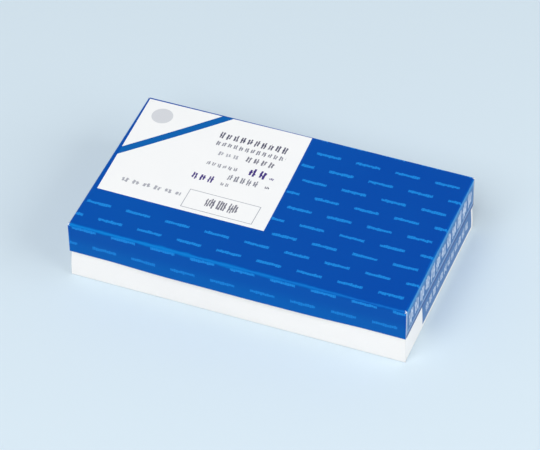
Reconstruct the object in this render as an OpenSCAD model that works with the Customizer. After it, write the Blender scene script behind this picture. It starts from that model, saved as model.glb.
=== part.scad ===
// Microscope slide box: a lift-off card lid over a card tray that holds one row of glass slides.
// The closed box lies flat. +X runs along its length and +Z is up, in millimetres.
// The origin is the middle of its footprint, on the surface that it stands on.
// Lid and tray are each folded from one sheet: the long walls run full length and show their cut
// ends, and the end walls turn at a crease into glue tabs that lie inside the long walls.

/* [Slides] */
// Number of slides in the row
slide_count = 100; // [20:10:150]
// Length of a slide, across the box
slide_l = 76; // [60:1:90]
// Width of a slide, which stands upright
slide_w = 26; // [22:1:40]
// Thickness of a slide
slide_t = 1.3; // [0.9:0.05:1.6]
// Ground bevel along the edges of a slide
slide_bevel = 0.15; // [0.05:0.05:0.3]
// Gap between one slide and the next
slide_gap = 0.08; // [0.04:0.01:0.3]

/* [Card] */
// Thickness of the lid's card
lid_card = 0.4; // [0.3:0.05:0.6]
// Thickness of the tray's card
base_card = 0.5; // [0.3:0.05:0.6]
// Outside radius of the folds round a floor or top panel
fold_r = 1; // [0.7:0.1:2]
// Inside radius of the upright creases at the corners
crease_in = 0.3; // [0.1:0.05:0.8]
// Length of a glue tab, from the corner
tab_l = 15; // [8:1:25]
// Height that a glue tab loses at each edge towards its free end
tab_taper = 2; // [0.5:0.5:4]

/* [Fit] */
// Free length between the row of slides and each end wall
end_room = 1.05; // [0.6:0.05:4]
// Free width between the slides and the glue tabs on each side
side_room = 1.3; // [0.5:0.1:4]
// Height of the tray's rim above the slides
head_room = 0.6; // [0.2:0.1:4]
// Gap between the tray's corners and the inside of the lid's creases
fit_gap = 0.05; // [0.05:0.05:0.5]
// Gap between the tray's rim and the inside of the lid's fold
seat_gap = 0.05; // [0.05:0.05:0.5]
// Depth of the lid's walls, from its top
lid_drop = 15; // [11:0.5:24]
// How far the long walls of the lid bow out at the middle of their lower edge
skirt_bow = 1.3; // [0.2:0.1:2.5]
// How far the tray's foot stays inside the lid's outline: below the lid its walls spread to this
foot_inset = 0.1; // [0.05:0.05:0.4]
// Distance below the lid at which the tray's walls begin to spread
spread_gap = 0.3; // [0.1:0.1:2]

/* [Print] */
// Height of the ink fields above the card
ink = 0.05; // [0.05:0.01:0.1]
// Distance of the white label field from the left fold
label_in = 0.8; // [0:0.1:2]
// Length of the white label field
label_l = 71.5; // [60:0.1:74]
// Width of the white label field
label_w = 57.9; // [50:0.1:64]
// Distance from the top's corner at which the bare diagonal stripe starts, along an edge
stripe_at = 33.6; // [20:0.1:34]
// Width of the bare diagonal stripe
stripe_w = 3.2; // [1:0.1:5]
// Length of a dash
dash_l = 10.3; // [4:0.1:12]
// Width of a dash
dash_w = 1.4; // [0.6:0.1:1.6]
// Distance from dash to dash along a row
dash_pitch = 16.86; // [14:0.02:24]
// Distance from row to row
row_pitch = 8.36; // [8:0.02:12]
// Middle of the row nearest to the back edge of the top, from that edge
row_start = 0.3; // [0:0.1:4]
// Middle of the first whole dash, from the left edge of the top
dash_start = 6.9; // [6:0.1:8]
// Width of a block in the band on the lid's end wall
block_w = 5.4; // [3:0.1:7]
// Distance from block to block
block_pitch = 7.6; // [7.2:0.1:12]
// Height of a block
block_h = 8; // [4:0.5:9]
// Distance from the tray's front corner to its printed end panel
panel_start = 19.5; // [10:0.5:30]
// Height of the panel's lower edge above the floor
panel_z = 2.2; // [1.5:0.1:6]

/* [Hidden] */
$fn = 48;
// Flat steps in a quarter turn of card
fold_steps = 6;
// Depth that a glue tab and a fold's end are pressed into the long wall beside them, and that the strip
// inside the card at a wall's foot reaches into the wall and into its fold
lap = 0.02;

// The row of slides
pitch = slide_t + slide_gap;
row_l = slide_count * pitch - slide_gap;
groups = 10;

// The tray round the row, with two layers of card at its tabs
base_l = row_l + 2 * (end_room + base_card);
base_w = slide_l + 2 * (side_room + 2 * base_card);
rim_z = base_card + slide_w + head_room;

// The lid round the tray, whose square corners have to pass inside the lid's creases
lid_gap = fit_gap + hundredth(crease_in * (1 - sqrt(1 / 2)));
lid_l = base_l + 2 * (lid_gap + lid_card);
lid_w = base_w + 2 * (lid_gap + 2 * lid_card);
// How far the tray's end wall reaches under the curve of the lid's fold
under_fold = max(0, fold_r - lid_card - lid_gap);
lid_z = hundredth(rim_z + seat_gap + fold_r - sqrt(pow(fold_r - lid_card, 2) - pow(under_fold, 2)));

// The tray's foot, and the height at which its walls stand upright
foot_l = lid_l - 2 * foot_inset;
foot_w = lid_w - 2 * foot_inset;
upright_z = lid_z - lid_drop - spread_gap;

bow_half = lid_l / 2 - tab_l;
bow_steps = 16;
skirt_z = lid_drop - fold_r;

// Label lettering is kept as plain bars: [left, right, back, front] from the left and back edges of the top
bar_level = ink;
dark_bars = [
    [36.6, 67, 9.8, 13.7], [37, 67, 15.5, 17.8],
    [52, 64, 19.9, 23.5],
    [55.8, 63.2, 25.9, 30.8], [64.8, 67.6, 28.7, 30.2],
    [49, 62.8, 32.2, 36.2], [64.8, 67.6, 33.9, 35.4],
    [35, 45.1, 35.8, 40], [47.5, 51.9, 37.8, 40.2],
    [46, 60.8, 48.2, 54],
];
pale_bars = [[40, 48.8, 21, 23.4], [37.6, 51.7, 27.8, 30.5], [9.4, 35.1, 49, 51.4]];
box_left = 37.5;
box_right = 68.1;
box_back = 46;
box_front = 56.9;
box_line = 0.4;
// Plain disc in the label's corner, with its middle at distances from the left and back edges of the top
disc_r = 4.5;
disc_at = [10, 9.5];

// Clearance that keeps a flat dash off the bowed wall behind it
skirt_clear = 0.08;
// A printed row that would be shorter than this is left out
least_dash = 0.5;

WHITE = [0.96, 0.96, 0.95];
BLUE = [0.02, 0.30, 0.67];
LIGHT_BLUE = [0.13, 0.52, 0.86];
NAVY = [0.10, 0.15, 0.42];
GLASS = [0.74, 0.88, 0.86];

// A size rounded up to a hundredth, so that faces that share a plane share its number
function hundredth(size) = ceil(100 * size) / 100;
function group_name(k) = str("slides_", k < 9 ? "0" : "", k + 1);

// ---- Folded card ----

// Points of a quarter turn about a centre, from one angle to another
function turn(centre, r, from, to) = [
    for (i = [0 : fold_steps]) let (a = from + (to - from) * i / fold_steps) centre + r * [cos(a), sin(a)]
];

// Section of a fold about its centre, from the edge of the panel below it to the foot of the wall beside it
module fold_section(card) {
    polygon(concat(turn([0, 0], fold_r, -90, 0), turn([0, 0], fold_r - card, 0, -90)));
}

// Half of an end wall seen from above: flat wall, crease and glue tab, with the wall's end at x = 0
module end_section(half_w, card) {
    crease_r = crease_in + card;
    centre = [-crease_r, half_w - crease_r];
    outer = concat([[0, 0]], turn(centre, crease_r, 0, 90), [[-tab_l, half_w]]);
    inner = concat([[-tab_l, half_w - card]], turn(centre, crease_in, 90, 0), [[-card, 0]]);
    polygon(concat(outer, inner));
}

// Raises a plan of walls from the folds to the rim, upright above a height and spread below it
module raise(top, upright, spread) {
    translate([0, 0, upright]) {
        linear_extrude(top - upright) children();
        if (upright > fold_r)
            mirror([0, 0, 1]) linear_extrude(upright - fold_r, scale = spread, slices = 1) children();
    }
}

// Both end walls, with the glue tabs that turn inwards from them and taper to their free ends
module end_walls(length, width, depth, card, upright, spread) {
    root = length / 2 - crease_in - card - tab_taper / 2;
    past = length / 2 - tab_l - tab_taper;
    for (end = [0, 1]) mirror([end, 0, 0]) difference() {
        raise(depth, upright, spread) translate([length / 2, 0]) for (side = [0, 1])
            mirror([0, side]) end_section(width / 2 - card + lap, card);
        rotate([90, 0, 0]) linear_extrude(width, center = true) {
            polygon([[past, 0], [root, 0], [root, fold_r], [past, fold_r + tab_taper]]);
            polygon([[root, depth], [root, depth + 1], [past, depth + 1], [past, depth - tab_taper]]);
        }
    }
}

// How far a bowed wall stands out at its free edge
function bow_at(x) = abs(x) < bow_half ? skirt_bow * pow(1 - pow(x / bow_half, 2), 2) : 0;

// Long wall that is straight at its fold and bows out at its free edge, with its outer face at y = 0
module bowed_wall(length, card, rise) {
    stations = concat([-length / 2], [for (i = [0 : bow_steps]) bow_half * (2 * i / bow_steps - 1)], [length / 2]);
    // Corners of the wall's section at each station
    sections = [
        for (x = stations) let (out = bow_at(x)) [[x, 0, 0], [x, out, rise], [x, out - card, rise], [x, -card, 0]]
    ];
    points = [for (section = sections) each section];
    n = len(sections[0]);
    sides = [
        for (i = [0 : len(sections) - 2], k = [0 : n - 1])
            let (a = n * i + k, b = a + n, d = n * i + (k + 1) % n, c = d + n) each [[a, b, c], [a, c, d]]
    ];
    first = [for (k = [0 : n - 1]) k];
    last = [for (k = [1 : n]) len(points) - k];
    polyhedron(points, concat([first, last], sides));
}

// Tray folded from one card, with walls of a length and width at the rim and a foot that may be larger
module folded_tray(length, width, depth, card, foot, upright, bowed) {
    panel = foot - 2 * [fold_r, fold_r];
    spread = [foot[0] / length, foot[1] / width];
    translate([0, 0, card / 2]) cube([panel[0], panel[1], card], center = true);
    for (side = [0, 1]) {
        mirror([0, side, 0]) {
            translate([0, panel[1] / 2, fold_r]) rotate([90, 0, 90]) linear_extrude(foot[0], center = true)
                fold_section(card);
            if (bowed) translate([0, width / 2, fold_r]) bowed_wall(length, card, depth - fold_r);
            else raise(depth, upright, spread) translate([-length / 2, width / 2 - card]) square([length, card]);
            translate([0, (foot[1] - card) / 2, fold_r]) cube([panel[0], card / 2, 2 * lap], center = true);
        }
        mirror([side, 0, 0]) {
            translate([panel[0] / 2, 0, fold_r]) rotate([90, 0, 0])
                linear_extrude(foot[1] - 2 * (card - lap), center = true) fold_section(card);
            translate([(foot[0] - card) / 2, 0, fold_r]) cube([card / 2, panel[1], 2 * lap], center = true);
        }
    }
    end_walls(length, width, depth, card, upright, spread);
}

module base_tray() {
    color(WHITE) folded_tray(base_l, base_w, rim_z, base_card, [foot_l, foot_w], upright_z, false);
}

module lid() {
    color(BLUE) translate([0, 0, lid_z]) mirror([0, 0, 1])
        folded_tray(lid_l, lid_w, lid_drop, lid_card, [lid_l, lid_w], fold_r, true);
}

// ---- Glass ----

// One slide, standing on a long edge at x = 0
module slide() {
    translate([0, 0, base_card + slide_w / 2]) intersection() {
        linear_extrude(slide_w, center = true) slide_section(slide_l);
        rotate([90, 0, 0]) linear_extrude(slide_l, center = true) slide_section(slide_w);
    }
}

// Thickness of a slide across the section, with bevels where its faces meet its edges
module slide_section(span) {
    t = slide_t / 2;
    s = span / 2;
    b = slide_bevel;
    polygon([[t - b, -s], [t, b - s], [t, s - b], [t - b, s], [b - t, s], [-t, s - b], [-t, b - s], [b - t, -s]]);
}

// Every tenth part of the row
module slide_group(k) {
    first = floor(k * slide_count / groups);
    last = floor((k + 1) * slide_count / groups) - 1;
    color(GLASS) for (i = [first : last]) translate([(slide_t - row_l) / 2 + i * pitch, 0, 0]) slide();
}

// ---- Print ----

// Flat field of ink on the lid's top, placed by its distances from the left and back edges
module top_ink(left, right, back, front, level = 0) {
    translate([left - lid_l / 2, lid_w / 2 - front, lid_z + level]) cube([right - left, front - back, ink]);
}

// White label in the back left corner of the lid, in two fields with a bare diagonal stripe between
module label_field() {
    left = fold_r + label_in;
    right = left + label_l;
    back = fold_r;
    front = back + label_w;
    far = stripe_at + stripe_w * sqrt(2);
    color(WHITE) translate([-lid_l / 2, lid_w / 2, lid_z]) linear_extrude(ink) {
        polygon([[left, -back], [stripe_at - back, -back], [left, left - stripe_at]]);
        polygon([[far - back, -back], [right, -back], [right, -front], [left, -front], [left, left - far]]);
    }
}

// What is printed on the label: bars for its lines, a disc and a thin frame
module label_lines() {
    color(NAVY) {
        for (b = dark_bars) top_ink(b[0], b[1], b[2], b[3], bar_level);
        difference() {
            top_ink(box_left, box_right, box_back, box_front, bar_level);
            top_ink(box_left + box_line, box_right - box_line, box_back + box_line, box_front - box_line,
                    bar_level);
        }
    }
    color("darkgray") {
        for (b = pale_bars) top_ink(b[0], b[1], b[2], b[3], bar_level);
        translate([disc_at[0] - lid_l / 2, lid_w / 2 - disc_at[1], lid_z + bar_level])
            cylinder(h = ink, r = disc_r);
    }
}

// Ends of each dash of row k between two limits along the row, from the left edge of the top
function dashes(k, low, high) = [
    for (n = [-2 : ceil(lid_l / dash_pitch)])
        let (middle = dash_start + (n + abs(k % 2) / 2) * dash_pitch,
             a = max(low, middle - dash_l / 2), b = min(high, middle + dash_l / 2))
            if (b - a > least_dash) [a, b]
];

// Dash on a long wall of the lid, leaning with the wall's bow, at a depth below the top
module skirt_dash(from, to, drop, side) {
    x = (from + to - lid_l) / 2;
    share = (drop - fold_r) / skirt_z;
    out = bow_at(x) * share;
    turn = atan((bow_at(x + 1) - bow_at(x)) * share);
    lean = atan(bow_at(x) / skirt_z);
    translate([x, side * (lid_w / 2 + out + skirt_clear), lid_z - drop]) rotate([side * lean, 0, side * turn])
        translate([(from - to) / 2, side > 0 ? 0 : -ink, -dash_w / 2]) cube([to - from, ink, dash_w]);
}

// Rows of dashes over the lid's top, long walls and left end, left out where a fold or the label lies
module dash_print() {
    reach = (dash_w + fold_r) / 2;
    rows = ceil((lid_w + lid_drop) / row_pitch);
    label_end = fold_r + label_in + label_l + dash_w / 2;
    label_front = fold_r + label_w + dash_w;
    color(LIGHT_BLUE) for (k = [-rows : rows]) {
        v = row_start + k * row_pitch;
        if (v > reach && v < lid_w - reach)
            for (d = dashes(k, v < label_front ? label_end : fold_r, lid_l - fold_r))
                top_ink(d[0], d[1], v - dash_w / 2, v + dash_w / 2);
        // The rows run on over the left fold
        if (abs(v - lid_w / 2) < lid_w / 2 - 2 * lid_card - crease_in - dash_w)
            for (d = dashes(k, -lid_drop + least_dash, -fold_r))
                translate([-lid_l / 2 - ink, lid_w / 2 - v - dash_w / 2, lid_z + d[0]])
                    cube([ink, dash_w, d[1] - d[0]]);
        // The first rows past the back and the front edge are on the long walls, clear of the fold
        for (side = [-1, 1]) {
            drop = side > 0 ? -v : v - lid_w;
            if (drop > fold_r && drop < lid_drop - dash_w)
                for (d = dashes(k, fold_r, lid_l - fold_r))
                    skirt_dash(d[0], d[1], max(drop, fold_r + dash_w / 2), side);
        }
    }
}

// Band of plain pale blocks on the lid's right end
module lid_end_print() {
    room = lid_w - 2 * (2 * lid_card + crease_in);
    count = floor((room - block_w) / block_pitch);
    z = lid_z - (lid_drop + fold_r) / 2;
    color("lightsteelblue") for (i = [0 : count])
        translate([lid_l / 2, (i - count / 2) * block_pitch - block_w / 2, z - block_h / 2])
            cube([ink, block_w, block_h]);
}

// Blue panel on the tray's right end, leaning with the wall, with a pale line let into it
module base_end_print() {
    lean = atan((foot_l - base_l) / 2 / (upright_z - fold_r));
    back = base_w / 2 - 2 * base_card - crease_in;
    front = panel_start - base_w / 2;
    height = (upright_z - panel_z) / cos(lean);
    line_end = height / 2;
    color(BLUE) translate([foot_l / 2, 0, fold_r]) rotate([0, -lean, 0])
        translate([0, front, (panel_z - fold_r) / cos(lean)]) difference() {
            cube([ink, back - front, height]);
            translate([-ink, line_end, height / 3]) cube([3 * ink, back - front - 2 * line_end, height / 5]);
        }
}

base_tray();
lid();
for (k = [0 : groups - 1]) slide_group(k);
label_field();
label_lines();
dash_print();
lid_end_print();
base_end_print();
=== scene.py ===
"""Microscope slide box, closed: a blue printed lid over a white tray of glass slides.

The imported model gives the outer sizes. The lid and the tray are each modelled again as one folded sheet
of card, with rounded folds, creased corners, glue tabs and raw cut edges, and with a bow in the lid's
skirt. The print is drawn in the coordinates of the flat blank, so it runs on over the lid's folds.
"""
import math

import bpy
from mathutils import Matrix, Vector


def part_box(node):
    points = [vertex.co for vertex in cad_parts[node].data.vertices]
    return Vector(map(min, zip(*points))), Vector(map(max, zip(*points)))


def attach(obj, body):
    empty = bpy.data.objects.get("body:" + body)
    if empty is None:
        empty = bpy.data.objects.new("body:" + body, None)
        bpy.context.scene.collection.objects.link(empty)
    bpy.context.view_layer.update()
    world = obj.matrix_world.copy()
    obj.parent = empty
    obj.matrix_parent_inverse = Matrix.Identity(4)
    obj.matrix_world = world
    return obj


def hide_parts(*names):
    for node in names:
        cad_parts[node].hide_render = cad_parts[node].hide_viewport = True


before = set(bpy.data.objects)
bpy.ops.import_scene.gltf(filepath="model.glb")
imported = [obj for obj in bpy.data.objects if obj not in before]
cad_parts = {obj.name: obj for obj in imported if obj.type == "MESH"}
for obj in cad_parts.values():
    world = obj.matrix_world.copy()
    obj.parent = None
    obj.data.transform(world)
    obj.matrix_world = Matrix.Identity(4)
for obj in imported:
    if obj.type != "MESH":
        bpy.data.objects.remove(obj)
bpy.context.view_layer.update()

MM = 0.001

# ---- Sizes, in metres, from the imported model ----

LID_LOW, LID_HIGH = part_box("lid")
TRAY_LOW, TRAY_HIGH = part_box("base_tray")
PANEL_LOW, PANEL_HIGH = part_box("base_end_print")
LABEL_LOW, LABEL_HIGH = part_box("label_field")

LID_L = LID_HIGH.x - LID_LOW.x
FOOT_L = TRAY_HIGH.x - TRAY_LOW.x
FOOT_W = TRAY_HIGH.y - TRAY_LOW.y
LID_W = FOOT_W + (LID_L - FOOT_L)
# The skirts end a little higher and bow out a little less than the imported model's
SKIRT_TRIM = 0.3 * MM
BOW_SHARE = 0.68
LID_DROP = LID_HIGH.z - LID_LOW.z - SKIRT_TRIM
BOW = BOW_SHARE * (LID_HIGH.y - LID_W / 2)

# Step from one slide to the next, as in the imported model
SLIDES_LOW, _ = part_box("slides_01")
SLIDE_PITCH = 1.38 * MM

# Card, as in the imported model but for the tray's tighter fold
LID_CARD = 0.4 * MM
TRAY_CARD = 0.5 * MM
LID_FOLD = 1.0 * MM
TRAY_FOLD = 0.65 * MM
TAB = 15 * MM
TAB_TAPER = 2 * MM
# Gap between the lid's folded corner and the tray's
LID_GAP = 0.14 * MM
TRAY_L = LID_L - 2 * (LID_GAP + LID_CARD)
TRAY_W = LID_W - 2 * (LID_GAP + 2 * LID_CARD)
# Height from which the tray's walls stand upright. They spread below it.
UPRIGHT = PANEL_HIGH.z
# How deep the lid's top hangs at its middle, and how far the free edges ripple
LID_SAG = 0.65 * MM
LID_RIPPLE = 0.06 * MM
TRAY_RIPPLE = 0.02 * MM


# ---- Folded card ----

class Sheet:
    """One folded sheet, gathered from patches of outer points, outward normals and print coordinates."""

    WELD = 1e-7

    def __init__(self):
        self.found = {}
        self.points, self.normals, self.prints, self.quads = [], [], [], []

    def vertex(self, point, normal, place):
        """Number of the vertex at a point. Patches that meet there share it."""
        key = tuple(round(c / self.WELD) for c in point)
        if key not in self.found:
            self.found[key] = len(self.points)
            self.points.append(Vector(point))
            self.normals.append(Vector(normal).normalized())
            self.prints.append(place)
        return self.found[key]

    def patch(self, columns):
        """Adds a grid, given as columns of (point, normal, print coordinates)."""
        ids = [[self.vertex(*corner) for corner in column] for column in columns]
        for left, right in zip(ids, ids[1:]):
            for k in range(len(left) - 1):
                quad = []
                for i in (left[k], right[k], right[k + 1], left[k + 1]):
                    if i not in quad:
                        quad.append(i)
                if len(quad) < 3:
                    continue
                a, b, c = (self.points[i] for i in quad[:3])
                if (b - a).cross(c - a).dot(self.normals[quad[0]]) < 0:
                    quad.reverse()
                self.quads.append(quad)

    def build(self, name, card, materials, print_of=None):
        """Object with the outer face, the inner face one card below it, and the cut edges between them.
        Its materials are the outer, the inner and the edges', then any that print_of names by a number for
        the middle of an outer face in print coordinates."""
        count = len(self.points)
        points = self.points + [p - n * card for p, n in zip(self.points, self.normals)]
        inner = [[i + count for i in reversed(quad)] for quad in self.quads]
        used = dict.fromkeys(pair for quad in self.quads for pair in zip(quad, quad[1:] + quad[:1]))
        rim = [[b, a, a + count, b + count] for a, b in used if (b, a) not in used]
        mesh = bpy.data.meshes.new(name)
        mesh.from_pydata(points, [], self.quads + inner + rim)
        for material in materials:
            mesh.materials.append(material)
        first_inner, first_rim = len(self.quads), 2 * len(self.quads)
        layer = mesh.uv_layers.new(name="print")
        for polygon in mesh.polygons:
            polygon.material_index = (polygon.index >= first_inner) + (polygon.index >= first_rim)
            if print_of and polygon.index < first_inner:
                corners = [self.prints[i] for i in polygon.vertices]
                middle = [sum(c) / len(corners) for c in zip(*corners)]
                polygon.material_index = print_of(*middle)
            polygon.use_smooth = True
            for loop in polygon.loop_indices:
                layer.data[loop].uv = self.prints[mesh.loops[loop].vertex_index % count]
        mesh.validate()
        piece = bpy.data.objects.new(name, mesh)
        bpy.context.scene.collection.objects.link(piece)
        cut = {tuple(sorted(edge)) for face in rim for edge in zip(face, face[1:] + face[:1])}
        for edge in mesh.edges:
            edge.use_edge_sharp = tuple(sorted(edge.vertices)) in cut
        return piece


def spread(low, high, count):
    """Evenly spaced values from low to high."""
    return [low + (high - low) * i / count for i in range(count + 1)]


class FoldedTray:
    """An open tray folded from one card, standing on its panel. Its long walls run full length, and its
    end walls turn at a crease into glue tabs inside them. Print coordinates are in millimetres from the
    left and back edges of the panel, and run on over the folds."""

    FOLD_STEPS = 10
    WALL_STEPS = 14
    CREASE_STEPS = 8
    TAB_STEPS = 10
    LONG_STEPS = 72
    SHORT_STEPS = 42
    TIP_STEPS = 5
    # Share of a fold's radius that the slit beside a corner's tip takes away
    SLIT = 0.12
    # Gap that keeps the tabs from the long walls
    HAIR = 0.02 * MM
    # Lengths of the waves in the free edges' ripple, and of those in the panel's hollow
    RIPPLE_WAVES = (9 * MM, 5.3 * MM)
    HOLLOW_WAVES = (17 * MM, 13 * MM)

    def __init__(self, length, width, depth, card, fold, foot, upright, bow, ripple, sag, seams=((), ())):
        self.length, self.width, self.depth, self.card, self.fold = length, width, depth, card, fold
        self.foot, self.upright, self.bow, self.ripple, self.sag = foot, upright, bow, ripple, sag
        self.seams = seams
        self.crease = fold - card
        self.tip_x = foot[0] / 2 - fold
        self.side_y = foot[1] / 2 - fold

    def half(self, axis, z):
        """Half of the outer length or width at a height: the foot's size below, the rim's above. The wall
        keeps most of the foot's size till near the rim."""
        rim = (self.length, self.width)[axis]
        share = 1
        if self.upright > self.fold:
            share = min(1, max(0, (z - self.fold) / (self.upright - self.fold)))
        return (self.foot[axis] + (rim - self.foot[axis]) * share ** 2) / 2

    def bulge(self, x, z):
        """How far a long wall stands out at a place, from its bow and the ripple along its free edge."""
        share = max(0, (z - self.fold) / (self.depth - self.fold))
        reach = self.length / 2 - TAB
        bow = self.bow * (1 - (x / reach) ** 4) ** 2 if abs(x) < reach else 0
        long, short = self.RIPPLE_WAVES
        wave = math.sin(x / long) + math.sin(x / short + 1.1)
        ripple = self.ripple * (wave - 2) / 2 * share ** 2 * (bow / self.bow if self.bow else 1)
        return bow * share + ripple

    def dip(self, x, y):
        """How far the panel lies inside its plane: a slack hollow with a slight unevenness."""
        inside = (1 - (x / self.tip_x) ** 2) * (1 - (y / self.side_y) ** 2)
        along, across = self.HOLLOW_WAVES
        wave = 1 + 0.1 * math.sin(x / along + 0.6) * math.cos(y / across)
        return self.sag * max(0, inside) * wave

    def place(self, x, y):
        """Print coordinates of a place on the flat sheet, from its middle."""
        return ((x + self.foot[0] / 2) / MM, (self.foot[1] / 2 - y) / MM)

    def panel(self, xs, ys):
        """Columns of the panel, which faces down."""
        return [[((x, y, self.dip(x, y)), (0, 0, -1), self.place(x, y)) for y in ys] for x in xs]

    def fold_rows(self, start):
        """Angles of the rows of a fold, from a start near the panel to the wall."""
        return [start + (math.pi / 2 - start) * k / self.FOLD_STEPS for k in range(self.FOLD_STEPS + 1)]

    def run_over(self, angle):
        """Print distance past the panel's edge at an angle of the fold, one radius on each of its sides."""
        return 2 * self.fold * angle / (math.pi / 2)

    def long_column(self, share, side, start):
        """Column of a long wall, at a share of the half length, from the fold's start to the free edge."""
        column = []
        for angle in self.fold_rows(start):
            x = share * self.foot[0] / 2
            y = side * (self.side_y + self.fold * math.sin(angle))
            normal = (0, side * math.sin(angle), -math.cos(angle))
            place = self.place(x, side * (self.side_y + self.run_over(angle)))
            column.append(((x, y, self.fold * (1 - math.cos(angle))), normal, place))
        for z in spread(self.fold, self.depth, self.WALL_STEPS)[1:]:
            x = share * self.half(0, z)
            y = side * (self.half(1, z) + self.bulge(x, z))
            place = self.place(share * self.foot[0] / 2, side * (self.foot[1] / 2 + z))
            column.append(((x, y, z), (0, side, 0), place))
        return column

    def long_wall(self, xs, side):
        """Long wall with its fold. Past the panel's corners the fold goes on as a tip beside a slit."""
        half = self.foot[0] / 2
        columns = [self.long_column(x / half, side, 0) for x in xs]
        tips = []
        for k in range(1, self.TIP_STEPS + 1):
            share = k / self.TIP_STEPS
            tips.append(((self.tip_x + self.fold * share) / half, self.SLIT + 0.25 * share ** 3))
        left = [self.long_column(-share, side, start) for share, start in reversed(tips)]
        right = [self.long_column(share, side, start) for share, start in tips]
        return left + columns + right

    def end_column(self, y, end):
        """Column of an end wall between its creases."""
        column = []
        for angle in self.fold_rows(0):
            x = end * (self.tip_x + self.fold * math.sin(angle))
            normal = (end * math.sin(angle), 0, -math.cos(angle))
            place = self.place(end * (self.tip_x + self.run_over(angle)), y)
            column.append(((x, y, self.fold * (1 - math.cos(angle))), normal, place))
        for z in spread(self.fold, self.depth, self.WALL_STEPS)[1:]:
            across = y / self.side_y * (self.half(1, z) - self.fold)
            place = self.place(end * (self.foot[0] / 2 + z), y)
            column.append(((end * self.half(0, z), across, z), (end, 0, 0), place))
        return column

    def turned_column(self, end, side, turn, along, heights, first):
        """Column of a crease at an angle of its turn, or of a tab at a distance along it."""
        low = max(heights[first], self.fold - self.crease * math.cos(turn) + self.HAIR)
        taper = along * TAB_TAPER / TAB
        low += taper
        high = self.depth - taper
        column = []
        for k in range(first, len(heights)):
            share = (heights[k] - heights[first]) / (self.depth - heights[first])
            z = low + (high - low) * share
            lean = 0 if k >= self.FOLD_STEPS else math.pi / 2 * (1 - k / self.FOLD_STEPS)
            straight = 1 - turn / (math.pi / 2)
            back = self.fold * (1 - math.cos(lean)) * straight
            x = self.half(0, z) - self.crease * (1 - math.cos(turn)) - along - back
            y = self.half(1, z) - self.fold + self.crease * math.sin(turn) - self.HAIR * math.sin(turn)
            normal = (end * math.cos(turn) * math.cos(lean), side * math.sin(turn) * math.cos(lean),
                      -math.sin(lean) * straight)
            print_y = self.side_y + self.crease * turn + along
            place = self.place(end * (self.foot[0] / 2 + z), side * print_y)
            column.append(((end * x, side * y, z), normal, place))
        return column

    def end_wall(self, ys, end):
        """The flat of an end wall with its fold, and the two creases and tabs that turn in from it."""
        flat = [self.end_column(y, end) for y in ys]
        patches = [flat]
        heights = [self.fold * (1 - math.cos(a)) for a in self.fold_rows(0)]
        heights += spread(self.fold, self.depth, self.WALL_STEPS)[1:]
        first = next(k for k, z in enumerate(heights) if z > self.card + self.HAIR)
        for side, edge in ((-1, flat[0]), (1, flat[-1])):
            turns = spread(0, math.pi / 2, self.CREASE_STEPS)[1:]
            columns = [edge[first:]]
            columns += [self.turned_column(end, side, turn, 0, heights, first) for turn in turns]
            columns += [self.turned_column(end, side, math.pi / 2, along, heights, first)
                        for along in spread(0, TAB - self.crease, self.TAB_STEPS)[1:]]
            patches.append(columns)
        return patches

    def sheet(self, place_in_space):
        """The whole sheet, moved to its place by a function of a point or direction."""
        xs = sorted(spread(-self.tip_x, self.tip_x, self.LONG_STEPS) + list(self.seams[0]))
        ys = sorted(spread(-self.side_y, self.side_y, self.SHORT_STEPS) + list(self.seams[1]))
        patches = [self.panel(xs, ys)]
        patches += [self.long_wall(xs, side) for side in (-1, 1)]
        for end in (-1, 1):
            patches += self.end_wall(ys, end)
        sheet = Sheet()
        for columns in patches:
            sheet.patch([[(place_in_space(p, 1), place_in_space(n, 0), uv) for p, n, uv in column]
                         for column in columns])
        return sheet


def upright(point, is_point):
    """Leaves the tray as it is folded."""
    return point


def turned_over(point, is_point):
    """Turns the lid over, so that its panel is on top."""
    return (point[0], point[1], is_point * LID_HIGH.z - point[2])


# ---- Materials ----

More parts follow.
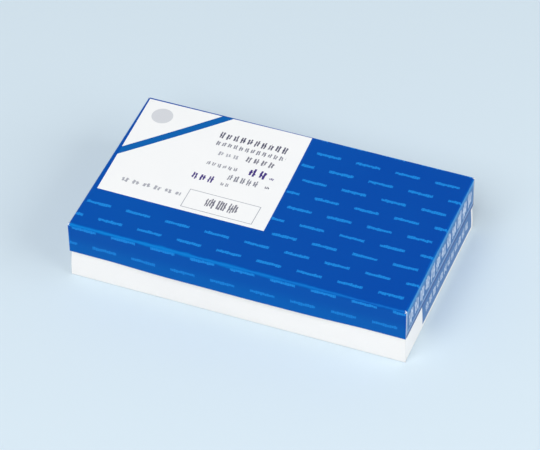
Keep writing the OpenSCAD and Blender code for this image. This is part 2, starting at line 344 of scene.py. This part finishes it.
class Graph:
    """A material's nodes, with short calls for the sums that draw its print."""

    def __init__(self, name):
        self.material = bpy.data.materials.new(name)
        self.material.use_nodes = True
        self.nodes = self.material.node_tree.nodes
        self.links = self.material.node_tree.links
        self.shader = self.nodes["Principled BSDF"]

    def put(self, socket, value):
        """Gives an input a link or a plain value."""
        if isinstance(value, bpy.types.NodeSocket):
            self.links.new(value, socket)
        elif value is not None:
            socket.default_value = value

    def node(self, kind, inputs=(), **settings):
        node = self.nodes.new("ShaderNode" + kind)
        for name, value in settings.items():
            setattr(node, name, value)
        for name, value in dict(inputs).items():
            self.put(node.inputs[name], value)
        return node

    def math(self, operation, a, b=None, c=None):
        node = self.node("Math", operation=operation)
        for socket, value in zip(node.inputs, (a, b, c)):
            self.put(socket, value)
        return node.outputs[0]

    def add(self, a, b):
        return self.math("ADD", a, b)

    def subtract(self, a, b):
        return self.math("SUBTRACT", a, b)

    def times(self, a, b):
        return self.math("MULTIPLY", a, b)

    def both(self, *masks):
        """Smallest of some masks."""
        result = masks[0]
        for mask in masks[1:]:
            result = self.math("MINIMUM", result, mask)
        return result

    def either(self, *masks):
        """Largest of some masks."""
        result = masks[0]
        for mask in masks[1:]:
            result = self.math("MAXIMUM", result, mask)
        return result

    def ramp(self, value, low, high):
        """0 at low and 1 at high, smooth between them. Low may be the larger."""
        inputs = {"Value": value, "From Min": low, "From Max": high, "To Min": 0.0, "To Max": 1.0}
        return self.node("MapRange", inputs, interpolation_type="SMOOTHSTEP").outputs["Result"]

    def band(self, value, low, high, soft):
        """1 between two limits and 0 outside them, with soft edges."""
        half = (high - low) / 2
        away = self.math("ABSOLUTE", self.subtract(value, (low + high) / 2))
        return self.ramp(away, half + soft / 2, half - soft / 2)

    def colour(self, factor, a, b):
        """Colour a where the factor is 0 and b where it is 1."""
        node = self.node("Mix", data_type="RGBA")
        self.put(node.inputs["Factor"], factor)
        self.put(node.inputs[6], a)
        self.put(node.inputs[7], b)
        return node.outputs[2]

    def noise(self, vector, scale, detail=2.0, roughness=0.5):
        inputs = {"Vector": vector, "Scale": scale, "Detail": detail, "Roughness": roughness}
        return self.node("TexNoise", inputs).outputs["Fac"]

    def surface(self):
        """Place on the piece, in metres."""
        return self.node("TexCoord").outputs["Object"]

    def parts(self, vector):
        """The three numbers of a vector."""
        return self.node("SeparateXYZ", {"Vector": vector}).outputs

    def from_limits(self, value, far):
        """Distance from 0 or from a far limit, whichever is nearer."""
        return self.both(self.math("ABSOLUTE", value), self.math("ABSOLUTE", self.subtract(value, far)))

    def chance(self, number, seed):
        """A fixed random value for each whole number."""
        place = self.add(number, seed)
        return self.node("TexWhiteNoise", {"W": place}, noise_dimensions="1D").outputs["Value"]

    def bump(self, height, distance, strength):
        """Roughens the surface by a height from 0 to 1, times a distance in metres."""
        node = self.node("Bump", {"Height": height, "Distance": distance, "Strength": strength})
        self.links.new(node.outputs[0], self.shader.inputs["Normal"])

    def finish(self, **sockets):
        """Sets the shader's own sockets, with _ for a space in their names."""
        for name, value in sockets.items():
            self.put(self.shader.inputs[name.replace("_", " ")], value)
        return self.material


def srgb(red, green, blue):
    """Linear colour of a colour given from 0 to 255."""
    parts = [c / 255 for c in (red, green, blue)]
    return tuple(c / 12.92 if c <= 0.04045 else ((c + 0.055) / 1.055) ** 2.4 for c in parts) + (1.0,)


BLUE = srgb(0, 78, 172)
DEEP_BLUE = srgb(0, 70, 166)
LIGHT_BLUE = srgb(0, 83, 174)
SKIRT_LOW_BLUE = srgb(0, 95, 181)
END_BLUE = srgb(0, 98, 167)
# Painted highlight on the right end's fold
END_FOLD_HIGHLIGHT = srgb(10, 136, 208)
# Painted shadow at the lid's lower edge, on the lid's end and on the tray's panel below it
PAINTED_SHADOW_BLUE = srgb(0, 66, 140)
DASH_BLUE = srgb(28, 139, 226)
# Blues of the band along the top's folds: rubbed ink with a painted highlight, dimmer towards the right
RUBBED_HIGHLIGHT_BLUE = srgb(0, 124, 208)
RUBBED_HIGHLIGHT_DIMMER = srgb(0, 104, 192)
WORN_PALE = srgb(176, 205, 236)
BOARD = srgb(226, 224, 216)
FLECK = srgb(170, 166, 156)
CUT = srgb(235, 238, 240)
INK = srgb(66, 64, 94)
PURPLE_INK = srgb(70, 52, 128)
GREY_INK = srgb(120, 122, 138)
PALE_INK = srgb(150, 153, 166)
FRAME_INK = srgb(176, 180, 188)
DISC = srgb(212, 215, 221)
PALE_PRINT = srgb(206, 222, 244)
STRIPE_BLUE = srgb(8, 96, 174)
CLEAR_GLASS = srgb(232, 245, 240)
BACKDROP = srgb(214, 230, 241)
NEUTRAL = srgb(226, 229, 233)
BLACK = (0.0, 0.0, 0.0, 1.0)
# Pairs of tones that a surface varies between
LABEL_PAPER = (srgb(243, 245, 247), srgb(248, 249, 250))
TRAY_PAPER = (srgb(243, 244, 244), srgb(250, 250, 249))
FROST = (srgb(170, 200, 188), srgb(232, 243, 238))

# Depth of the fibres on the card's bare side and on its cut edges, in metres
INSIDE_GRAIN = 0.00002
CUT_GRAIN = 0.00003

# Print on the lid, in millimetres from the left and back edges of its top
TOP_L = LID_L / MM
TOP_W = LID_W / MM
# Softness of the print's edges
EDGE = 0.06
# First row of dashes and the rows' pitch. Then first dash of a row, the dashes' pitch, length and width,
# and the pitch of the small strokes that make a dash.
ROW_START = 0.3
ROW_PITCH = 8.36
DASH_START = 6.9
DASH_PITCH = 16.86
DASH_L = 10.3
DASH_W = 1.65
DASH_STROKE = 0.94
LABEL_LEFT = (LABEL_LOW.x + LID_L / 2) / MM
LABEL_RIGHT = (LABEL_HIGH.x + LID_L / 2) / MM
LABEL_BACK = (LID_W / 2 - LABEL_HIGH.y) / MM
LABEL_FRONT = (LID_W / 2 - LABEL_LOW.y) / MM
# How far the label's sides are out of true over its width, how its back and front edges tilt, how far
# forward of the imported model's they start at the left, and the margin that its faces keep for all this
LABEL_SLANT = 1.4
LABEL_TILT = 0.006
LABEL_TRIM = (0.35, 0.2)
LABEL_MARGIN = 0.8
# The label's diagonal stripe, its disc, and its box as left, right, back and front
STRIPE_AT = 34.4
STRIPE_W = 3.5
DISC_AT = (10, 9.5)
DISC_R = 4.5
FRAME_BOX = (37.5, 68.1, 46, 56.9)
FRAME_LINE = 0.35
# Signs in the rows on the lid's end and the tray's end, and strokes to a sign with the gap after it
END_SIGNS = 12
SIGN_GROUP = 4
# Print on the lid's end, in millimetres below its top: the signs, the fade of the painted highlight at the
# fold, the pale rubbed band and the start of the painted shadow at the edge
END_SIGNS_AT = (3.4, 11.0)
END_HIGHLIGHT_FADE = (4.6, 0.9)
END_RUBBED = (11.9, 13.1)
END_SHADOW_AT = (13.1, 13.3)
# Print on the tray's end, in millimetres: the signs above the panel's foot, the painted shadow below its
# top
TRAY_SIGNS_AT = (3.2, 7.2)
TRAY_SHADOW_BAND = (0.9, 0.1)
# Lines of the label, as rows of plain strokes: left, right, back, front, pitch of the strokes, strokes to
# a sign with the gap after it, ink and strength
LABEL_LINES = [
    (36.6, 67, 9.8, 13.7, 1.013, 3, INK, 0.95),
    (37, 67, 15.3, 18, 0.83, 3, GREY_INK, 0.95),
    (40.1, 48.8, 21, 23.4, 1.07, 3, PALE_INK, 0.85),
    (52, 64, 20, 23.4, 1.09, 3, INK, 0.85),
    (37.7, 51.7, 28, 30.3, 0.78, 3, GREY_INK, 0.85),
    (55.9, 63.2, 25.9, 30.7, 1.46, 3, PURPLE_INK, 1.0),
    (64.9, 67.5, 28.7, 30, 0.65, 4, PURPLE_INK, 1.0),
    (49, 62.7, 32.4, 36.2, 0.913, 3, GREY_INK, 0.95),
    (65, 67.6, 34, 35.3, 0.65, 4, INK, 1.0),
    (35, 45.1, 35.9, 39.9, 1.15, 3, PURPLE_INK, 1.0),
    (47.6, 51.8, 37.9, 40, 0.7, 3, GREY_INK, 0.85),
    (9.4, 35.1, 49.1, 51.5, 1.56, 3, PALE_INK, 0.85),
    (46.1, 60.8, 48.3, 53.9, 0.98, 5, INK, 0.85),
]


def print_place(graph):
    """Print coordinates, in millimetres."""
    u, v, _ = graph.parts(graph.node("UVMap", uv_map="print").outputs[0])
    return u, v


def strokes(graph, u, v, left, back, front, pitch, group, seed):
    """A row of signs made of strokes of all lengths and slanting ties, in place of a line of writing. They
    spell nothing. A sign has a stroke less than its group. The numbers may be sockets."""
    cell = graph.math("DIVIDE", graph.subtract(u, left), pitch)
    column = graph.math("FLOOR", cell)
    # Upright strokes of random widths, lengths and heights, as shares of the pitch and of the row's height
    across = graph.math("ABSOLUTE", graph.subtract(graph.math("FRACT", cell), 0.45))
    half_width = graph.add(graph.times(graph.chance(column, seed), 0.12), 0.22)
    soft = graph.math("DIVIDE", EDGE, pitch)
    stroke = graph.ramp(across, graph.add(half_width, soft), graph.subtract(half_width, soft))
    down = graph.math("DIVIDE", graph.subtract(v, back), graph.subtract(front, back))
    middle = graph.add(graph.times(graph.chance(column, graph.add(seed, 200.0)), 0.2), 0.4)
    reach = graph.add(graph.times(graph.chance(column, graph.add(seed, 400.0)), 0.2), 0.32)
    tall = graph.math("COMPARE", down, middle, reach)
    # A tie slants from each stroke to the next, up or down
    slope = graph.subtract(graph.chance(column, graph.add(seed, 600.0)), 0.5)
    from_middle = graph.subtract(graph.math("FRACT", cell), 0.5)
    tie = graph.math("MULTIPLY_ADD", from_middle, graph.times(slope, 1.8), 0.5)
    bar = graph.math("COMPARE", down, tie, 0.085)
    number = graph.math("FLOORED_MODULO", column, group)
    in_sign = graph.math("LESS_THAN", number, graph.subtract(group, 1.5))
    return graph.both(graph.either(graph.both(stroke, tall), bar), in_sign)


def dash_mask(graph, u, v):
    """Rows of dashes all over the sheet, each second row moved on by half a step. Each dash is a row of
    small strokes."""
    row = graph.math("ROUND", graph.math("DIVIDE", graph.subtract(v, ROW_START), ROW_PITCH))
    away = graph.subtract(graph.subtract(v, ROW_START), graph.times(row, ROW_PITCH))
    odd = graph.math("FLOORED_MODULO", row, 2.0)
    along_row = graph.math("DIVIDE", graph.subtract(u, DASH_START), DASH_PITCH)
    step = graph.subtract(along_row, graph.times(odd, 0.5))
    dash = graph.math("ROUND", step)
    along = graph.times(graph.subtract(step, dash), DASH_PITCH)
    cell = graph.math("DIVIDE", along, DASH_STROKE)
    column = graph.math("FLOOR", cell)
    # Each dash has random values of its own
    seed = graph.add(graph.times(row, 1700.0), graph.times(dash, 100.0))
    shift = graph.times(graph.subtract(graph.chance(column, graph.add(seed, 50000.0)), 0.5), 0.18 * DASH_W)
    tall = graph.add(graph.times(graph.chance(column, seed), 0.2 * DASH_W), 0.31 * DASH_W)
    off = graph.math("ABSOLUTE", graph.subtract(away, shift))
    body = graph.ramp(off, graph.add(tall, EDGE), graph.subtract(tall, EDGE))
    gap = graph.ramp(graph.math("ABSOLUTE", graph.subtract(graph.math("FRACT", cell), 0.5)), 0.5, 0.3)
    ink = graph.times(body, graph.add(graph.times(gap, 0.5), 0.5))
    ends = graph.ramp(graph.math("ABSOLUTE", along), DASH_L / 2 + EDGE, DASH_L / 2 - EDGE)
    return graph.both(ink, ends)


def varnish(graph, colour):
    """Finish of printed and varnished card. It shines at a low angle and hardly when seen from above."""
    graph.bump(graph.noise(graph.surface(), 2600.0, 3.0, 0.6), 0.00001, 0.6)
    turned_away = graph.node("LayerWeight", {"Blend": 0.5}).outputs["Facing"]
    gloss = graph.add(graph.times(graph.ramp(turned_away, 0.35, 0.8), 0.45), 0.03)
    return graph.finish(Base_Color=colour, Roughness=0.45, Specular_IOR_Level=0.04, Coat_Weight=gloss,
                        Coat_Roughness=0.28, Coat_IOR=1.5)


def worn_and_highlit(graph, colour, u, v):
    """Rubs the ink along the folds round the top, with a painted highlight in that band, paints a highlight
    on the right end's fold, and bares the card at the corners."""
    from_end = graph.from_limits(u, TOP_L)
    from_side = graph.from_limits(v, TOP_W)
    patches = graph.noise(graph.surface(), 110.0, 4.0, 0.6)
    # A band along each fold with a ragged edge, narrower at the ends and towards the right: rubbed ink and
    # painted highlight
    rightward = graph.ramp(u, 20.0, TOP_L)
    nearest = graph.both(graph.add(from_end, 0.9), graph.add(from_side, graph.times(rightward, 0.4)))
    rubbed = graph.ramp(graph.add(nearest, graph.times(patches, 2.6)), 2.8, 1.7)
    # Rubbed ink and painted highlight along the folds, dimmer towards the right
    rubbed_highlight_blue = graph.colour(rightward, RUBBED_HIGHLIGHT_BLUE, RUBBED_HIGHLIGHT_DIMMER)
    colour = graph.colour(graph.times(rubbed, 0.85), colour, rubbed_highlight_blue)
    # Painted highlight on the right end's fold
    colour = graph.colour(graph.ramp(u, TOP_L + 0.1, TOP_L + 0.7), colour, END_FOLD_HIGHLIGHT)
    # A bare patch at each corner, longest along its diagonal
    corner = graph.add(from_end, from_side)
    off_diagonal = graph.math("ABSOLUTE", graph.subtract(from_end, from_side))
    nearer = graph.math("MULTIPLY_ADD", off_diagonal, 1.6, graph.times(corner, 0.45))
    bare = graph.ramp(graph.add(nearer, graph.times(patches, 0.8)), 1.15, 0.95)
    return graph.colour(bare, colour, CUT)


def blue_print():
    """Blue print with rows of light blue dashes, left out beside the label. Painted light makes the blue
    lighter towards the left end and on the front skirt. The skirt is lighter still towards its lower edge,
    and its dashes are fainter there."""
    graph = Graph("blue_print")
    u, v = print_place(graph)
    # Random tone of the ink, with painted light that makes it lighter towards the left end
    ink_tone_and_light = graph.times(graph.noise(graph.surface(), 40.0, 3.0), 0.5)
    ink_tone_and_light = graph.add(ink_tone_and_light, graph.times(graph.ramp(u, TOP_L, 0.0), 0.5))
    blue = graph.colour(ink_tone_and_light, DEEP_BLUE, LIGHT_BLUE)
    # Painted light: the front skirt is lighter than the top, and lighter still towards its lower edge
    on_front = graph.ramp(v, TOP_W + 0.4, TOP_W + 1.6)
    low = graph.ramp(v, TOP_W + 5.0, TOP_W + 12.0)
    front = graph.colour(low, LIGHT_BLUE, SKIRT_LOW_BLUE)
    blue = graph.colour(graph.times(on_front, 0.9), blue, front)
    beside = graph.both(graph.math("LESS_THAN", u, LABEL_RIGHT),
                        graph.math("LESS_THAN", v, LABEL_FRONT + 1.0),
                        graph.math("GREATER_THAN", u, 0.0), graph.math("GREATER_THAN", v, 0.0))
    strength = graph.subtract(graph.subtract(0.9, beside), graph.times(low, 0.25))
    dashes = graph.times(dash_mask(graph, u, v), strength)
    colour = graph.colour(dashes, blue, DASH_BLUE)
    return varnish(graph, worn_and_highlit(graph, colour, u, v))


def end_print():
    """Blue print with a row of pale signs along the end wall, a painted highlight at its fold, rubbed pale
    at its creases and along its lower edge, and a painted shadow at the edge itself."""
    graph = Graph("end_print")
    u, v = print_place(graph)
    drop = graph.subtract(u, TOP_L)
    first, pitch = 3.7, 1.6
    last = first + pitch * (END_SIGNS * SIGN_GROUP - 1)
    marks = strokes(graph, v, drop, first, *END_SIGNS_AT, pitch, float(SIGN_GROUP), 91000.0)
    marks = graph.both(marks, graph.band(v, first, last, EDGE), graph.band(drop, *END_SIGNS_AT, EDGE))
    # Painted highlight: the end wall's blue turns paler towards its fold
    ground = graph.colour(graph.ramp(drop, *END_HIGHLIGHT_FADE), END_BLUE, END_FOLD_HIGHLIGHT)
    colour = graph.colour(graph.times(marks, 0.9), ground, PALE_PRINT)
    from_crease = graph.math("MINIMUM", v, graph.subtract(TOP_W, v))
    creases = graph.ramp(graph.math("ABSOLUTE", graph.subtract(from_crease, 1.2)), 1.1, 0.5)
    rubbed = graph.either(creases, graph.band(drop, *END_RUBBED, 0.3))
    colour = graph.colour(graph.times(rubbed, 0.45), colour, WORN_PALE)
    # Painted shadow along the lid end's lower edge
    return varnish(graph, graph.colour(graph.ramp(drop, *END_SHADOW_AT), colour, PAINTED_SHADOW_BLUE))


def label_print():
    """White label with a blue diagonal stripe, a plain disc, a box and lines of strokes."""
    graph = Graph("label_print")
    u, v = print_place(graph)
    tone = graph.noise(graph.surface(), 50.0, 3.0)
    paper = graph.colour(tone, *LABEL_PAPER)
    slant = graph.times(graph.subtract(graph.math("DIVIDE", v, LABEL_FRONT), 0.5), LABEL_SLANT)
    true_u = graph.subtract(u, slant)
    true_v = graph.add(v, graph.times(u, LABEL_TILT))
    white = graph.both(graph.band(true_u, LABEL_LEFT, LABEL_RIGHT, EDGE),
                       graph.band(true_v, LABEL_BACK + LABEL_TRIM[0], LABEL_FRONT + LABEL_TRIM[1], EDGE))
    stripe = graph.band(graph.add(u, v), STRIPE_AT, STRIPE_AT + STRIPE_W * math.sqrt(2), EDGE)
    ground = graph.colour(graph.both(white, stripe), BLUE, STRIPE_BLUE)
    colour = graph.colour(graph.both(white, graph.subtract(1.0, stripe)), ground, paper)
    # The line at each place gives its limits, pitch and ink to one set of strokes
    left, back, front, pitch, group, dark, ink = 0.0, 0.0, 1.0, 1.0, 2.0, 0.0, INK
    for start, stop, high, low, step, count, tint, strength in LABEL_LINES:
        here = graph.times(graph.math("COMPARE", u, (start + stop) / 2, (stop - start) / 2),
                           graph.math("COMPARE", v, (high + low) / 2, (low - high) / 2))
        left = graph.math("MULTIPLY_ADD", here, float(start), left)
        back = graph.math("MULTIPLY_ADD", here, float(high), back)
        front = graph.math("MULTIPLY_ADD", here, low - 1.0, front)
        pitch = graph.math("MULTIPLY_ADD", here, step - 1.0, pitch)
        group = graph.math("MULTIPLY_ADD", here, count - 2.0, group)
        dark = graph.math("MULTIPLY_ADD", here, strength, dark)
        ink = graph.colour(here, ink, tint)
    seed = graph.math("FLOOR", graph.add(graph.times(left, 1700.0), graph.times(back, 310.0)))
    mask = strokes(graph, u, v, left, back, front, pitch, group, seed)
    colour = graph.colour(graph.times(mask, dark), colour, ink)
    left, right, back, front = FRAME_BOX
    outer = graph.both(graph.band(u, left, right, EDGE), graph.band(v, back, front, EDGE))
    inner = graph.both(graph.band(u, left + FRAME_LINE, right - FRAME_LINE, EDGE),
                       graph.band(v, back + FRAME_LINE, front - FRAME_LINE, EDGE))
    colour = graph.colour(graph.subtract(outer, inner), colour, FRAME_INK)
    from_disc = graph.math("SQRT", graph.add(graph.math("POWER", graph.subtract(u, DISC_AT[0]), 2.0),
                                             graph.math("POWER", graph.subtract(v, DISC_AT[1]), 2.0)))
    colour = graph.colour(graph.ramp(from_disc, DISC_R + EDGE, DISC_R - EDGE), colour, DISC)
    return varnish(graph, colour)


def tray_print():
    """White coated card, with a blue panel on one end. The panel has a row of pale signs and a painted
    shadow below the lid's edge, and goes on under the lid."""
    graph = Graph("tray_print")
    surface = graph.surface()
    x, y, z = (graph.math("DIVIDE", part, MM) for part in graph.parts(surface))
    tone = graph.noise(surface, 60.0, 3.0)
    paper = graph.colour(tone, *TRAY_PAPER)
    start, stop = PANEL_LOW.y / MM, PANEL_HIGH.y / MM
    low, high = PANEL_LOW.z / MM, PANEL_HIGH.z / MM
    on_end = graph.math("GREATER_THAN", x, FOOT_L / 2 / MM - 2.0)
    panel = graph.both(graph.band(y, start, stop, EDGE), graph.ramp(z, low - EDGE, low + EDGE), on_end)
    first, pitch = start + 4, 1.1
    foot, top = (low + height for height in TRAY_SIGNS_AT)
    last = first + pitch * (END_SIGNS * SIGN_GROUP - 1)
    line = strokes(graph, y, z, first, foot, top, pitch, float(SIGN_GROUP), 47000.0)
    line = graph.both(line, graph.band(y, first, last, EDGE), graph.band(z, foot, top, EDGE))
    # Painted shadow across the panel's top, under the lid's edge
    shadow_band = graph.band(z, high - TRAY_SHADOW_BAND[0], high - TRAY_SHADOW_BAND[1], 0.2)
    colour = graph.colour(panel, paper, graph.colour(shadow_band, END_BLUE, PAINTED_SHADOW_BLUE))
    colour = graph.colour(graph.times(graph.both(panel, line), 0.85), colour, PALE_PRINT)
    graph.bump(graph.noise(surface, 2200.0, 3.0, 0.6), 0.000012, 0.6)
    return graph.finish(Base_Color=colour, Roughness=0.4, Specular_IOR_Level=0.35, Coat_Weight=0.35,
                        Coat_Roughness=0.2, Coat_IOR=1.45)


def bare_board(name, colour, depth):
    """Uncoated side or cut edge of the card, with its fibres."""
    graph = Graph(name)
    surface = graph.surface()
    fibres = graph.noise(surface, 900.0, 4.0, 0.7)
    flecks = graph.ramp(graph.noise(surface, 500.0, 2.0), 0.62, 0.72)
    darker = tuple(c * 0.88 for c in colour[:3]) + (1.0,)
    tone = graph.colour(fibres, darker, colour)
    tone = graph.colour(graph.times(flecks, 0.35), tone, FLECK)
    graph.bump(fibres, depth, 0.8)
    return graph.finish(Base_Color=tone, Roughness=0.85, Specular_IOR_Level=0.2)


def slide_glass():
    """Clear glass with ground edges, which are pale and frosted, each slide's a little unlike the next."""
    graph = Graph("slide_glass")
    # The slides' faces look along the row, and their ground edges away from it
    facing = graph.parts(graph.node("NewGeometry").outputs["True Normal"])[0]
    edge = graph.ramp(graph.math("ABSOLUTE", facing), 0.9, 0.5)
    surface = graph.surface()
    grit = graph.noise(surface, 3000.0, 3.0, 0.7)
    along = graph.subtract(graph.parts(surface)[0], SLIDES_LOW.x)
    which = graph.math("FLOOR", graph.math("DIVIDE", along, SLIDE_PITCH))
    tone = graph.add(graph.times(grit, 0.5), graph.times(graph.chance(which, 3100.0), 0.5))
    colour = graph.colour(edge, CLEAR_GLASS, graph.colour(tone, *FROST))
    rough = graph.add(graph.times(edge, 0.5), 0.03)
    clear = graph.subtract(0.92, graph.times(edge, 0.67))
    graph.bump(graph.times(grit, edge), 0.00002, 0.5)
    return graph.finish(Base_Color=colour, Roughness=rough, Transmission_Weight=clear, IOR=1.51)


# ---- Pieces ----

# Numbers of the prints among the lid's materials
BLUE_PRINT, LABEL_PRINT, END_PRINT = 0, 3, 4


def lid_print_at(u, v):
    """Number of the lid's print at a place."""
    if u > TOP_L + 1:
        return END_PRINT
    on_label = 1 < u < LABEL_RIGHT + LABEL_MARGIN and -1 < v < LABEL_FRONT + LABEL_MARGIN
    return LABEL_PRINT if on_label else BLUE_PRINT


def make_lid():
    seams = ([LABEL_HIGH.x + LABEL_MARGIN * MM], [LABEL_LOW.y - LABEL_MARGIN * MM])
    form = FoldedTray(LID_L, LID_W, LID_DROP, LID_CARD, LID_FOLD, foot=(LID_L, LID_W), upright=0,
                      bow=BOW, ripple=LID_RIPPLE, sag=LID_SAG, seams=seams)
    materials = [blue_print(), bare_board("lid_inside", BOARD, INSIDE_GRAIN),
                 bare_board("lid_cut", CUT, CUT_GRAIN), label_print(), end_print()]
    piece = form.sheet(turned_over).build("lid_card", LID_CARD, materials, lid_print_at)
    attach(piece, "lid")
    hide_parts("lid", "label_field", "label_lines", "dash_print", "lid_end_print")


def make_tray():
    form = FoldedTray(TRAY_L, TRAY_W, TRAY_HIGH.z, TRAY_CARD, TRAY_FOLD, foot=(FOOT_L, FOOT_W),
                      upright=UPRIGHT, bow=0, ripple=TRAY_RIPPLE, sag=0)
    materials = [tray_print(), bare_board("tray_inside", BOARD, INSIDE_GRAIN),
                 bare_board("tray_cut", CUT, CUT_GRAIN)]
    piece = form.sheet(upright).build("tray_card", TRAY_CARD, materials)
    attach(piece, "base")
    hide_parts("base_tray", "base_end_print")


def dress_slides():
    """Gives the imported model's slides their glass."""
    glass = slide_glass()
    for name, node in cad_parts.items():
        if name.startswith("slides_"):
            node.data.materials.clear()
            node.data.materials.append(glass)


# ---- Floor, light and camera ----

FLOOR_HALF = 3.0
# Distances from the object's middle between which the floor turns into the backdrop
FADE = (0.25, 0.6)
LIGHT_AIM = Vector((0, 0, 0.02))


def make_floor():
    """Pale floor, which takes the object's shadow and turns into the plain backdrop further off. The light
    that it throws back on the object is neutral."""
    mesh = bpy.data.meshes.new("floor")
    corners = [(x * FLOOR_HALF, y * FLOOR_HALF, 0) for x, y in ((-1, -1), (1, -1), (1, 1), (-1, 1))]
    mesh.from_pydata(corners, [], [(0, 1, 2, 3)])
    floor = bpy.data.objects.new("floor", mesh)
    bpy.context.scene.collection.objects.link(floor)
    graph = Graph("floor")
    path = graph.node("LightPath").outputs
    seen = graph.either(path["Is Camera Ray"], path["Is Glossy Ray"], path["Is Transmission Ray"])
    away = graph.node("VectorMath", {"Vector": graph.surface()}, operation="LENGTH").outputs["Value"]
    far = graph.times(graph.ramp(away, *FADE), seen)
    near = graph.colour(seen, NEUTRAL, BACKDROP)
    colour = graph.colour(far, near, BLACK)
    mesh.materials.append(graph.finish(Base_Color=colour, Roughness=0.9, Specular_IOR_Level=0.1,
                                       Emission_Color=BACKDROP, Emission_Strength=far))


def softbox(name, place, size, power):
    """Large soft lamp that looks at the object."""
    light = bpy.data.lights.new(name, "AREA")
    light.shape = "RECTANGLE"
    light.size, light.size_y = size
    light.energy = power
    light.color = (1.0, 0.985, 0.96)
    lamp = bpy.data.objects.new(name, light)
    bpy.context.scene.collection.objects.link(lamp)
    lamp.location = place
    lamp.rotation_euler = (LIGHT_AIM - Vector(place)).to_track_quat("-Z", "Y").to_euler()


def make_light():
    """Soft even light, with a pale background where the world is seen, mirrored or seen through glass."""
    world = bpy.data.worlds.new("studio")
    world.use_nodes = True
    bpy.context.scene.world = world
    nodes, links = world.node_tree.nodes, world.node_tree.links
    soft = nodes["Background"]
    soft.inputs["Color"].default_value = (0.96, 0.98, 1.0, 1.0)
    soft.inputs["Strength"].default_value = 0.5
    seen = nodes.new("ShaderNodeBackground")
    seen.inputs["Color"].default_value = BACKDROP
    path = nodes.new("ShaderNodeLightPath")
    mirrored, shown = (nodes.new("ShaderNodeMath") for _ in range(2))
    mirrored.operation = shown.operation = "MAXIMUM"
    links.new(path.outputs["Is Glossy Ray"], mirrored.inputs[0])
    links.new(path.outputs["Is Transmission Ray"], mirrored.inputs[1])
    links.new(path.outputs["Is Camera Ray"], shown.inputs[0])
    links.new(mirrored.outputs[0], shown.inputs[1])
    mix = nodes.new("ShaderNodeMixShader")
    links.new(shown.outputs[0], mix.inputs[0])
    links.new(soft.outputs[0], mix.inputs[1])
    links.new(seen.outputs[0], mix.inputs[2])
    links.new(mix.outputs[0], nodes["World Output"].inputs["Surface"])
    softbox("key", (-0.2, -1.1, 1.4), (1.2, 1.2), 16.5)
    softbox("fill", (1.35, -0.15, 0.8), (1.3, 1.0), 10)


# The photo's view: angles in degrees round and above the object and of the camera's roll, distance in
# metres, the point aimed at and the focal length in millimetres
AZIMUTH = 22.08
ELEVATION = 43.15
ROLL = -1.08
DISTANCE = 1.2283
AIM = Vector((-0.00128, -0.00022, 0.014))
LENS = 203.94


def make_camera():
    around, up = math.radians(AZIMUTH), math.radians(ELEVATION)
    away = Vector((math.sin(around) * math.cos(up), -math.cos(around) * math.cos(up), math.sin(up)))
    data = bpy.data.cameras.new("camera")
    data.lens = LENS
    camera = bpy.data.objects.new("camera", data)
    bpy.context.scene.collection.objects.link(camera)
    level = (-away).to_track_quat("-Z", "Y").to_matrix().to_4x4()
    camera.matrix_world = (Matrix.Translation(AIM + away * DISTANCE) @ level
                           @ Matrix.Rotation(math.radians(ROLL), 4, "Z"))
    bpy.context.scene.camera = camera


make_lid()
make_tray()
dress_slides()
make_floor()
make_light()
make_camera()
bpy.context.scene.view_settings.view_transform = "Standard"
